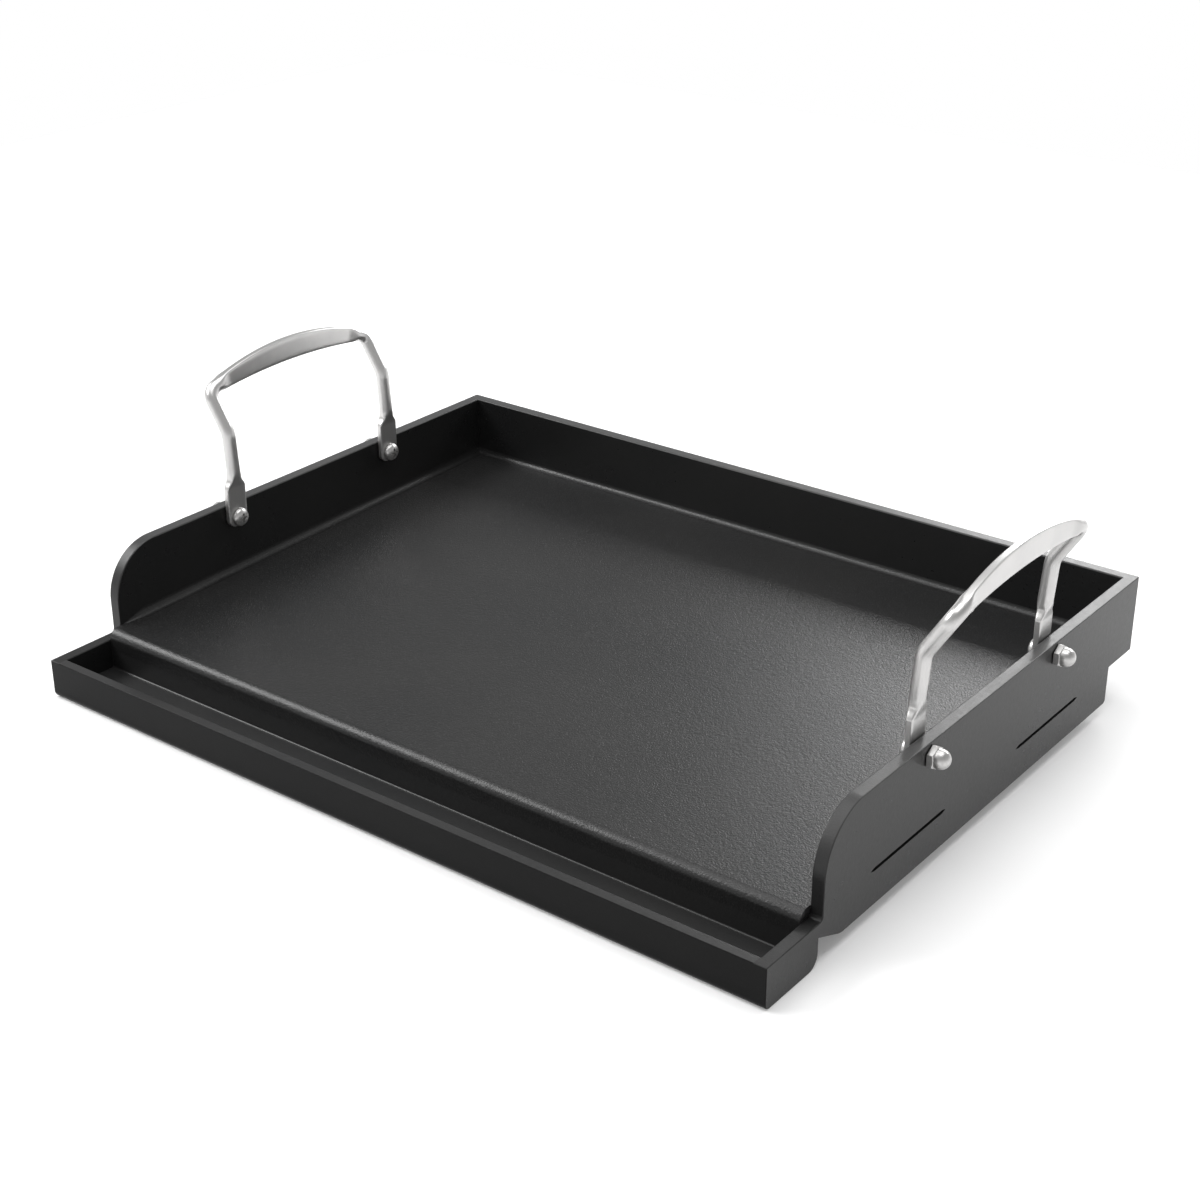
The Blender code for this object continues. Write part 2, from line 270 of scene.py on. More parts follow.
def eased(share: float) -> float:
    """Turn an even rise into one with soft ends.

    Args:
        share: How far along the rise is. Outside 0 to 1 it is held at the end.

    Returns:
        The eased share, from 0 to 1.
    """
    share = min(1.0, max(0.0, share))
    return share * share * (3 - 2 * share)


def grey(value: float, warmth: float = 0.0) -> Tuple[float, float, float, float]:
    """Return a grey with a slight warm or cool cast.

    Args:
        value: How light it is, in linear light.
        warmth: The cast, warm above 0 and cool below.

    Returns:
        The colour as red, green, blue and alpha.
    """
    return (value * (1 + warmth), value, value * (1 - warmth), 1.0)


@dataclass(frozen=True)
class BakedCoating:
    """A black, baked-on coating with a fine orange-peel grain.

    Where the height fade is set, the tone fades to a darker tone below that height: painted light above,
    painted shade below.
    """

    name: str
    tone: float = 0.012
    fleck: float = 0.030
    roughness: float = 0.32
    gloss_spread: float = 0.08
    grain_per_m: float = 1150.0
    grain_height: float = 0.0003
    grain_strength: float = 0.8
    pores_per_grain: float = 0.37
    clouds_per_m: float = 9.0
    cloud_band: Point = (0.3, 0.7)
    fleck_band: Point = (0.56, 0.74)
    fleck_share: float = 0.6
    specular: float = 0.42
    painted_shade_tone: float = 0.010
    painted_shade_below: float = 0.0
    painted_light_above: float = 0.0

    def build(self) -> bpy.types.Material:
        """Return the coating as a material."""
        graph = Graph(self.name)
        place = graph.place()
        grain = graph.noise(place, self.grain_per_m, detail=2.0, rough=0.55)
        pores = graph.noise(place, self.grain_per_m * self.pores_per_grain, detail=1.0, rough=0.4)
        clouds = graph.noise(place, self.clouds_per_m, detail=3.0, rough=0.55)
        cool, warm = grey(self.tone * 0.88, -0.02), grey(self.tone * 1.12, 0.01)
        shade = graph.mix(clouds.between(*self.cloud_band), cool, warm)
        flecks = grain.between(*self.fleck_band) * self.fleck_share
        colour = graph.mix(flecks, shade, grey(self.tone + self.fleck))
        # Painted light and shade: lighter towards the top, fading to a darker tone lower down.
        if self.painted_light_above > 0:
            painted_light_mask = graph.height(place).between(self.painted_shade_below, self.painted_light_above)
            colour = graph.mix(painted_light_mask, grey(self.painted_shade_tone), colour)
        spread = (clouds - 0.5) * self.gloss_spread + (pores - 0.5) * self.gloss_spread * 1.4
        height = grain * 0.7 + pores * 0.3
        return graph.finish({
            "Base Color": colour,
            "Roughness": spread + self.roughness,
            "Specular IOR Level": self.specular,
            "Normal": graph.bump(height, self.grain_strength, self.grain_height),
        })


@dataclass(frozen=True)
class SatinSteel:
    """Bright steel rod, polished lengthwise, with the faint lines that leaves."""

    name: str
    tone: float = 0.56
    roughness: float = 0.32
    metallic: float = 0.88
    lines_per_m: float = 1500.0
    stretch: float = 0.04
    grip_from: float = 0.121
    grip_to: float = 0.129

    def build(self) -> bpy.types.Material:
        """Return the steel as a material."""
        graph = Graph(self.name)
        place = graph.place()
        scratches = []
        for scale in ((1.0, 1.0, self.stretch), (1.0, self.stretch, 1.0)):
            drawn = graph.node("ShaderNodeMapping", None, {"Vector": place, "Scale": scale})
            scratches.append(graph.noise(drawn.outputs[0], self.lines_per_m, detail=2.0, rough=0.6))
        upright, level = scratches
        on_grip = graph.height(place).between(self.grip_from, self.grip_to)
        lines = level * on_grip + upright * (1 - on_grip)
        smudges = graph.noise(place, 60.0, detail=3.0, rough=0.6)
        clean, dull = grey(self.tone, 0.012), grey(self.tone * 0.94, 0.008)
        colour = graph.mix(smudges.between(0.35, 0.7), clean, dull)
        rough = (lines - 0.5) * 0.06 + (smudges - 0.5) * 0.06 + self.roughness
        return graph.finish({
            "Base Color": colour,
            "Metallic": self.metallic,
            "Roughness": rough,
            "Normal": graph.bump(lines, *FAINT_BUMP),
        })


@dataclass(frozen=True)
class PlatedSteel:
    """Bright plating of a screw or nut, with a faint mottle."""

    name: str
    tone: float = 0.52
    roughness: float = 0.33
    metallic: float = 0.88

    def build(self) -> bpy.types.Material:
        """Return the plating as a material."""
        graph = Graph(self.name)
        place = graph.place()
        mottle = graph.noise(place, 700.0, detail=3.0, rough=0.6)
        fine = graph.noise(place, 2600.0, detail=1.0, rough=0.5)
        light, dark = grey(self.tone * 1.03, 0.01), grey(self.tone * 0.92, 0.015)
        colour = graph.mix(mottle.between(0.3, 0.75), light, dark)
        return graph.finish({
            "Base Color": colour,
            "Metallic": self.metallic,
            "Roughness": (mottle - 0.5) * 0.08 + self.roughness,
            "Normal": graph.bump(fine, *FAINT_BUMP),
        })


@dataclass(frozen=True)
class StudioFloor:
    """Matt pale ground with a faint paper tooth."""

    name: str = "pale_floor"
    tone: float = 0.80
    glow: float = 0.16

    def build(self) -> bpy.types.Material:
        """Return the ground as a material."""
        graph = Graph(self.name)
        tooth = graph.noise(graph.place(), 40.0)
        colour = graph.mix(tooth, grey(self.tone), grey(self.tone * 0.985))
        return graph.finish({
            "Base Color": colour,
            "Roughness": 0.9,
            "Specular IOR Level": 0.1,
            "Emission Color": grey(1.0),
            "Emission Strength": self.glow,
        })


# Modelling


def activate(piece: bpy.types.Object) -> None:
    """Select one piece and make it active.

    Args:
        piece: The object to work on.
    """
    bpy.ops.object.select_all(action="DESELECT")
    piece.select_set(True)
    bpy.context.view_layer.objects.active = piece


@contextmanager
def editing(piece: bpy.types.Object) -> Iterator[None]:
    """Edit a piece with everything selected, and turn its faces outwards at the end.

    Args:
        piece: The object to edit.

    Yields:
        Nothing, while the piece is in edit mode.
    """
    activate(piece)
    bpy.ops.object.mode_set(mode="EDIT")
    bpy.ops.mesh.select_all(action="SELECT")
    yield
    bpy.ops.mesh.select_all(action="SELECT")
    bpy.ops.mesh.normals_make_consistent(inside=False)
    bpy.ops.object.mode_set(mode="OBJECT")


def named(name: str) -> bpy.types.Object:
    """Name the active object and its mesh, and return it.

    Args:
        name: The new name.

    Returns:
        The active object.
    """
    piece = bpy.context.object
    piece.name = name
    piece.data.name = name
    return piece


def apply(piece: bpy.types.Object, kind: str, **settings: Any) -> None:
    """Add a modifier and apply it.

    Args:
        piece: The object that it changes.
        kind: The modifier's type.
        **settings: The modifier's properties.
    """
    activate(piece)
    modifier = piece.modifiers.new(kind.lower(), kind)
    for key, value in settings.items():
        setattr(modifier, key, value)
    bpy.ops.object.modifier_apply(modifier=modifier.name)


def combine(piece: bpy.types.Object, tool: bpy.types.Object, operation: str) -> None:
    """Cut, join or intersect a piece with a tool body, and remove the tool.

    Args:
        piece: The object that it changes.
        tool: The tool body.
        operation: DIFFERENCE, UNION or INTERSECT.
    """
    apply(piece, "BOOLEAN", object=tool, operation=operation, solver="EXACT")
    bpy.data.objects.remove(tool, do_unlink=True)


def pick(piece: bpy.types.Object, kind: str, test: Callable[[Any], bool]) -> None:
    """Select the corners, edges or faces that pass a test, in edit mode.

    Args:
        piece: The object that is being edited.
        kind: verts, edges or faces.
        test: What tells whether an element is selected.
    """
    bpy.ops.mesh.select_all(action="DESELECT")
    mesh = bmesh.from_edit_mesh(piece.data)
    for element in getattr(mesh, kind):
        if test(element):
            element.select_set(True)
    bmesh.update_edit_mesh(piece.data)


def copied(piece: bpy.types.Object, name: str, move: Matrix) -> bpy.types.Object:
    """Copy a piece with its own mesh, and move the mesh.

    Args:
        piece: The object to copy.
        name: The copy's name.
        move: The turn or shift of the copy's mesh.

    Returns:
        The copy.
    """
    twin = piece.copy()
    twin.data = piece.data.copy()
    twin.name = name
    twin.data.name = name
    twin.data.transform(move)
    bpy.context.collection.objects.link(twin)
    return twin


def block(name: str, low: Sequence[float], high: Sequence[float]) -> bpy.types.Object:
    """Add a box between two corners.

    Args:
        name: The box's name.
        low: Its lowest corner.
        high: Its highest corner.

    Returns:
        The box, with its place in its mesh.
    """
    low, high = Vector(low), Vector(high)
    bpy.ops.mesh.primitive_cube_add(size=1, location=(low + high) / 2, scale=high - low)
    bpy.ops.object.transform_apply(location=True, rotation=True, scale=True)
    return named(name)


def ring(name: str, corners: Sequence[Sequence[float]], fill: str = "NGON") -> bpy.types.Object:
    """Add a ring of corners.

    Args:
        name: The ring's name.
        corners: Its corners in order.
        fill: NGON for a face, or NOTHING for bare edges.

    Returns:
        The ring.
    """
    bpy.ops.mesh.primitive_circle_add(vertices=len(corners), radius=1, fill_type=fill)
    piece = named(name)
    for vertex, corner in zip(piece.data.vertices, corners):
        vertex.co = corner
    return piece


def outline(name: str, corners: Sequence[Sequence[float]], x_from: float, x_to: float) -> bpy.types.Object:
    """Draw an outline in Y and Z, round its corners and extrude it along X.

    Args:
        name: The body's name.
        corners: The corners as (y, z, radius, steps).
        x_from: Where the body starts.
        x_to: Where the body ends.

    Returns:
        The body, closed at both ends.
    """
    piece = ring(name, [(x_from, y, z) for y, z, _, _ in corners])
    with editing(piece):
        for y, z, radius, steps in corners:
            if radius > 0:
                corner = Vector((x_from, y, z))
                pick(piece, "verts", lambda vertex: (vertex.co - corner).length < TINY)
                bpy.ops.mesh.bevel(offset=radius, offset_type="OFFSET", segments=steps, affect="VERTICES")
        bpy.ops.mesh.select_all(action="SELECT")
        bpy.ops.mesh.extrude_region_move(TRANSFORM_OT_translate={"value": (x_to - x_from, 0, 0)})
    return piece


def turned(name: str, profile: Sequence[Point], steps: int = 48) -> bpy.types.Object:
    """Turn a profile about the X axis.

    Args:
        name: The body's name.
        profile: Points as (along X, radius), on the axis at both ends.
        steps: How many sides the round body has.

    Returns:
        The closed body.
    """
    piece = ring(name, [(along, 0, radius) for along, radius in profile], "NOTHING")
    with editing(piece):
        pick(piece, "edges", lambda edge: all(vertex.co.z < TINY for vertex in edge.verts))
        bpy.ops.mesh.delete(type="EDGE")
        bpy.ops.mesh.select_all(action="SELECT")
        bpy.ops.mesh.spin(steps=steps, angle=2 * math.pi, center=(0, 0, 0), axis=(1, 0, 0))
        bpy.ops.mesh.select_all(action="SELECT")
        bpy.ops.mesh.remove_doubles(threshold=MERGE)
    return piece


def pin(x_from: float, x_to: float, radius: float) -> bpy.types.Object:
    """Add a plain round pin on the X axis, to cut a hole with.

    Args:
        x_from: Where it starts.
        x_to: Where it ends.
        radius: Its radius.

    Returns:
        The pin.
    """
    return turned("hole_tool", [(x_from, 0), (x_from, radius), (x_to, radius), (x_to, 0)], 32)


def drawn_out(name: str, rings: Rings) -> bpy.types.Object:
    """Extrude one ring from station to station into a closed bar.

    Args:
        name: The bar's name.
        rings: The corners of each ring, in the same order.

    Returns:
        The bar, closed at both ends.
    """
    piece = ring(name, rings[0])
    with editing(piece):
        for before, after in zip(rings, rings[1:]):
            bpy.ops.mesh.extrude_region_move()
            mesh = bmesh.from_edit_mesh(piece.data)
            for vertex in [v for v in mesh.verts if v.select]:
                nearest = min(range(len(before)), key=lambda i: (before[i] - vertex.co).length_squared)
                vertex.co = after[nearest]
            bmesh.update_edit_mesh(piece.data)
    return piece


def dress(
    piece: bpy.types.Object,
    finishes: Sequence[bpy.types.Material],
    names: Sequence[str],
    angle: float = 32.0,
) -> None:
    """Shade a finished piece, and give it its materials, body and CAD nodes.

    Args:
        piece: The finished object.
        finishes: Its materials, in the order of its slots.
        names: The CAD nodes that it replaces.
        angle: The steepest edge that is still smooth, in degrees.
    """
    activate(piece)
    bpy.ops.object.shade_smooth_by_angle(angle=math.radians(angle))
    apply(piece, "WEIGHTED_NORMAL", keep_sharp=True, weight=80)
    piece.data.materials.clear()
    for finish in finishes:
        piece.data.materials.append(finish)
    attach(piece, BODY)
    if names:
        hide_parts(*names)
    LOG.info("%s: %d faces, stands for %s", piece.name, len(piece.data.polygons), names or "no node")


# Sub-assemblies


@dataclass
class WeldedPan:
    """The tray: cooking plate, trough, rear wall and two side panels, welded flush.

    The cooking plate has the plain coating, and the trough the channel coating. The
    panels and rear wall have the wall coating. Rims have their own lighter coating as a
    painted sheen, and the trough's front its own darker one as painted shade.
    """

    coating: bpy.types.Material
    wall_coating: bpy.types.Material
    painted_sheen_rim_coating: bpy.types.Material
    painted_shade_front_coating: bpy.types.Material
    channel_coating: bpy.types.Material
    screws: Sequence[Point]
    trough_t: float = 0.0054
    trough_floor: float = 0.0054
    trough_front_r: float = 0.0035
    trough_rear_r: float = 0.0065
    nose_r: float = 0.0050
    panel_curve_r: float = 0.0280
    panel_foot_r: float = 0.0022
    panel_front: float = 0.0413
    notch_top: float = 0.0137
    skirt_front: float = 0.0563
    skirt_rear: float = 0.3079
    skirt_bottom: float = 0.0065
    floor_front_z: float = 0.0262
    floor_rear_z: float = 0.03265
    joint_z: float = 0.0155
    seam_step: float = 0.00005
    crease_r: float = 0.0010
    inner_round: float = 0.0007
    outer_round: float = 0.0005
    slit_z: float = 0.0249
    slit_length: float = 0.0640
    slit_height: float = 0.0018
    slit_depth: float = 0.0035
    slit_taper: float = 0.0030
    slit_front: float = 0.1103
    slit_rear: float = 0.2406
    hole_r: float = 0.0033
    side_weld_r: float = 0.0042
    rear_weld_r: float = 0.0032
    weld_run_out: float = 0.014
    weld_sink: float = 0.0003
    weld_tip: float = 0.1
    hollow_profile: float = 0.0858

    def __post_init__(self) -> None:
        """Take the outer sizes from the frame."""
        low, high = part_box("right_side_panel")
        self.inner_x = low.x
        self.outer_x = high.x
        self.front_y = low.y
        self.rear_y = high.y
        self.top_z = high.z
        self.wall_t = self.outer_x - self.inner_x
        self.rim_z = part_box("grease_trough")[1].z
        self.trough_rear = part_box("grease_trough")[1].y
        self.drop_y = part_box("cooking_plate")[0].y

    def floor(self, y: float) -> float:
        """Return the height of the cooking surface.

        Args:
            y: The place along Y, in the frame.

        Returns:
            The height in metres.
        """
        front = self.drop_y + self.nose_r
        rear = self.rear_y - self.wall_t
        return self.floor_front_z + (self.floor_rear_z - self.floor_front_z) * (y - front) / (rear - front)

    def middle(self) -> bpy.types.Object:
        """Return the trough, cooking plate and rear wall as one bent sheet."""
        wall_y = self.rear_y - self.wall_t
        channel_y = self.front_y + self.trough_t
        return outline("pan_middle", [
            (self.front_y, self.rim_z, 0, 0),
            (self.front_y, 0, self.trough_front_r, 6),
            (self.trough_rear, 0, self.trough_rear_r, 8),
            (self.trough_rear, self.floor(self.trough_rear) - self.wall_t, 0, 0),
            (wall_y, self.floor(wall_y) - self.wall_t, 0, 0),
            (self.rear_y, self.floor_rear_z - self.wall_t, 0, 0),
            (self.rear_y, self.top_z, 0, 0),
            (wall_y, self.top_z, 0, 0),
            (wall_y, self.floor(wall_y), 0, 0),
            (self.drop_y, self.floor(self.drop_y), self.nose_r, 12),
            (self.drop_y, self.trough_floor, self.crease_r, 3),
            (channel_y, self.trough_floor, self.crease_r, 3),
            (channel_y, self.rim_z, 0, 0),
        ], -self.inner_x, self.inner_x)

    def panel(self, name: str, side: Side) -> bpy.types.Object:
        """Return one side panel before its edges are rounded.

        Args:
            name: The panel's name.
            side: The side that it stands on.

        Returns:
            The panel.
        """
        step_z = self.floor_rear_z - self.wall_t
        front = self.front_y + self.panel_front
        return outline(name, [
            (self.front_y, self.rim_z, 0, 0),
            (self.front_y, 0, self.trough_front_r, 6),
            (self.trough_rear, 0, self.trough_rear_r, 8),
            (self.trough_rear, self.notch_top, 0, 0),
            (self.front_y + self.skirt_front, self.skirt_bottom, self.panel_foot_r, 4),
            (self.front_y + self.skirt_rear, self.skirt_bottom, self.panel_foot_r, 4),
            (self.front_y + self.skirt_rear, step_z, 0, 0),
            (self.rear_y, step_z, 0, 0),
            (self.rear_y, self.top_z, 0, 0),
            (front, self.top_z, self.panel_curve_r, 20),
            (front, self.rim_z, self.panel_foot_r, 5),
        ], side.value * self.inner_x, side.value * self.outer_x)

    def weigh_edges(self, shell: bpy.types.Object) -> None:
        """Mark how far each sharp edge of the shell is rounded.

        Args:
            shell: The joined, unrounded shell.
        """
        mesh = bmesh.new()
        mesh.from_mesh(shell.data)
        weights = mesh.edges.layers.float.new("bevel_weight_edge")
        for edge in mesh.edges:
            if not edge.is_convex or edge.calc_face_angle(0) < math.radians(30):
                continue
            ends = [vertex.co for vertex in edge.verts]
            at_side = all(abs(abs(end.x) - self.outer_x) < TINY for end in ends)
            at_end = all(end.y > self.rear_y - TINY or end.y < self.front_y + TINY for end in ends)
            if at_side or at_end:
                edge[weights] = self.outer_round / self.inner_round
            elif self.is_inner_rim(edge, ends):
                edge[weights] = 1.0
        mesh.to_mesh(shell.data)
        mesh.free()

    def is_inner_rim(self, edge: bmesh.types.BMEdge, ends: Sequence[Vector]) -> bool:
        """Tell whether an edge runs along the inside of a rim.

        Args:
            edge: The edge.
            ends: Its two ends.

        Returns:
            True on the inner edge of the trough's, a panel's or the rear wall's rim.
        """
        inside_y = self.front_y + self.trough_t
        wall_y = self.rear_y - self.wall_t
        if min(end.z for end in ends) < self.rim_z - TINY or min(end.y for end in ends) < inside_y - TINY:
            return False
        if all(abs(end.y - inside_y) < TINY for end in ends):
            return True
        if all(abs(end.y - wall_y) < TINY and abs(end.z - self.top_z) < TINY for end in ends):
            return True
        if not all(abs(abs(end.x) - self.inner_x) < TINY for end in ends):
            return False
        side = math.copysign(1, ends[0].x)
        return any(face.normal.x * side < -0.99 for face in edge.link_faces)

    def shell(self) -> bpy.types.Object:
        """Return the whole pan with rounded rims, screw holes and slits."""
        shell = self.middle()
        for side in Side:
            combine(shell, self.panel(f"pan_{side.name.lower()}", side), "UNION")
        # Faces in one plane are joined, so that only real edges are rounded.
        with editing(shell):
            bpy.ops.mesh.remove_doubles(threshold=MERGE)
            bpy.ops.mesh.dissolve_limited(angle_limit=math.radians(0.2))
        self.weigh_edges(shell)
        apply(
            shell, "BEVEL", width=self.inner_round, segments=4, limit_method="WEIGHT",
            use_clamp_overlap=False, offset_type="OFFSET",
        )
        for side in Side:
            for y, z in self.screws:
                hole = pin(self.inner_x - self.wall_t, self.outer_x + self.wall_t, self.hole_r)
                hole.data.transform(Matrix.Translation((0, y, z)) @ Matrix.Diagonal((side.value, 1, 1, 1)))
                if side is Side.LEFT:
                    hole.data.flip_normals()
                combine(shell, hole, "DIFFERENCE")
            for centre in (self.slit_front, self.slit_rear):
                combine(shell, self.slit_tool(side, self.front_y + centre), "DIFFERENCE")
        return shell

    def slit_tool(self, side: Side, y: float) -> bpy.types.Object:
        """Return the flat, pointed tool that cuts a slit in an outer face.

        Args:
            side: The side that it cuts.
            y: The middle of the slit.

        Returns:
            The tool.
        """
        half = self.slit_length / 2
        full = half - self.slit_taper
        low = self.slit_z - self.slit_height / 2
        high = self.slit_z + self.slit_height / 2
        return outline("slit_tool", [
            (y - half, self.slit_z, 0, 0),
            (y - full, low, 0, 0),
            (y + full, low, 0, 0),
            (y + half, self.slit_z, 0, 0),
            (y + full, high, 0, 0),
            (y - full, high, 0, 0),
        ], side.value * (self.outer_x - self.slit_depth), side.value * (self.outer_x + self.slit_depth))

    def rim_faces(self, piece: bpy.types.Object) -> None:
        """Give a plate's top edges the thinner rim coating, lighter as a painted sheen,
        and its front the dull, dark coating, as painted shade.

        Args:
            piece: The plate.
        """
        for face in piece.data.polygons:
            on_panel = abs(face.center.x) > self.inner_x + TINY and abs(face.normal.x) < 0.9
            above = face.center.z > self.rim_z - self.inner_round - TINY
            faces_front = face.normal.y < -0.1 and face.center.y > self.front_y + self.trough_t
            on_top = face.center.z > self.top_z - self.inner_round - TINY and face.normal.z > 0.2
            # Rim faces take the lighter coating as painted sheen; front faces take the darker one as
            # painted shade.
            rim = on_top or (on_panel and above and (face.normal.z > 0.2 or faces_front))
            front = face.normal.y < -0.5 and face.center.y < self.front_y + self.trough_front_r
            face.material_index = 1 if rim else 2 if front else 0

    def split(self, shell: bpy.types.Object) -> None:
        """Cut the shell along its weld lines into the five plates.

        The cuts stand seam_step inside the open space, clear of the shell's own faces.

        Args:
            shell: The whole pan.
        """
        far = self.outer_x + self.wall_t
        high = self.top_z + self.wall_t
        front, rear = self.front_y - self.wall_t, self.rear_y + self.wall_t
        wall_y = self.rear_y - self.wall_t - self.seam_step
        inner = self.inner_x - self.seam_step
        open_y = self.drop_y - self.nose_r
        behind = self.trough_rear + self.seam_step
        wall = self.wall_coating
        regions = (
            ("left_side_plate", "left_side_panel", wall,
             block("region", (-far, front, -far), (-inner, rear, high))),
            ("right_side_plate", "right_side_panel", wall,
             block("region", (inner, front, -far), (far, rear, high))),
            ("rear_splash_wall", "rear_wall", wall,
             block("region", (-inner, wall_y, -far), (inner, rear, high))),
            ("griddle_floor", "cooking_plate", self.coating,
             block("region", (-inner, open_y, self.joint_z), (inner, wall_y, high))),
            ("grease_channel", "grease_trough", self.channel_coating,
             outline("region", [
                 (front, -far, 0, 0),
                 (behind, -far, 0, 0),
                 (behind, self.joint_z, 0, 0),
                 (open_y, self.joint_z, 0, 0),
                 (open_y, high, 0, 0),
                 (front, high, 0, 0),
             ], -inner, inner)),
        )
        for name, node, finish, region in regions:
            plate = copied(shell, name, Matrix.Identity(4))
            combine(plate, region, "INTERSECT")
            # A cut can leave a gap of three or four edges where roundings meet.
            with editing(plate):
                bpy.ops.mesh.fill_holes(sides=4)
            dress(plate, [finish, self.painted_sheen_rim_coating, self.painted_shade_front_coating], [node])
            self.rim_faces(plate)
        bpy.data.objects.remove(shell, do_unlink=True)

    def weld(
        self, name: str, low: Sequence[float], high: Sequence[float], hollow: Vector, rise: float
    ) -> None:
        """Lay a concave weld fillet along an inner corner.

        Args:
            name: The fillet's name.
            low: The lowest corner of the bar that it is cut from.
            high: The highest corner of that bar.
            hollow: The direction from the corner to the open side.
            rise: How much higher its rear end is than its front end.
        """
        along_side = rise > 0
        radius = self.side_weld_r if along_side else self.rear_weld_r
        bar = block(name, low, high)
        middle = (Vector(low) + Vector(high)) / 2
        axes = [axis for axis in range(3) if hollow[axis] != 0]

        def is_open(edge: bmesh.types.BMEdge) -> bool:
            """Tell whether an edge is the bar's open one."""
            offset = (edge.verts[0].co + edge.verts[1].co) / 2 - middle
            return all(offset[axis] * hollow[axis] > 0 and abs(offset[axis]) > TINY for axis in axes)

        with editing(bar):
            pick(bar, "edges", is_open)
            bpy.ops.mesh.bevel(
                offset=radius, offset_type="OFFSET", segments=8, profile=self.hollow_profile, affect="EDGES"
            )
            pick(bar, "verts", lambda vertex: vertex.co.y > middle.y)
            bpy.ops.transform.translate(value=(0, 0, rise))
            if along_side:
                corner_x = middle.x - hollow.x * radius / 2
                bpy.ops.mesh.select_all(action="SELECT")
                bpy.ops.mesh.bisect(plane_co=(0, low[1] + self.weld_run_out, 0), plane_no=(0, 1, 0))
                pick(bar, "verts", lambda vertex: vertex.co.y < low[1] + TINY)
                bpy.ops.transform.resize(
                    value=(self.weld_tip, 1, self.weld_tip), center_override=(corner_x, low[1], low[2])
                )
        dress(bar, [self.wall_coating if along_side else self.coating], [])

    def welds(self) -> None:
        """Lay the fillets round the cooking surface."""
        sink = self.weld_sink
        start = self.front_y + self.panel_front + self.inner_round
        wall_y = self.rear_y - self.wall_t
        rise = self.floor(wall_y) - self.floor(start)
        base = self.floor(start)
        for side in Side:
            x_wall = side.value * (self.inner_x + sink)
            x_open = side.value * (self.inner_x - self.side_weld_r)
            low = (min(x_wall, x_open), start, base - sink)
            high = (max(x_wall, x_open), wall_y + sink, base + self.side_weld_r)
            self.weld(f"{side.name.lower()}_floor_weld", low, high, Vector((-side.value, 0, 1)), rise)
        low = (-self.inner_x, wall_y - self.rear_weld_r, self.floor(wall_y) - sink)
        high = (self.inner_x, wall_y + sink, self.floor(wall_y) + self.rear_weld_r)
        self.weld("rear_floor_weld", low, high, Vector((0, -1, 1)), 0.0)

    def build(self) -> None:
        """Make the five plates and their welds."""
        self.split(self.shell())
        self.welds()


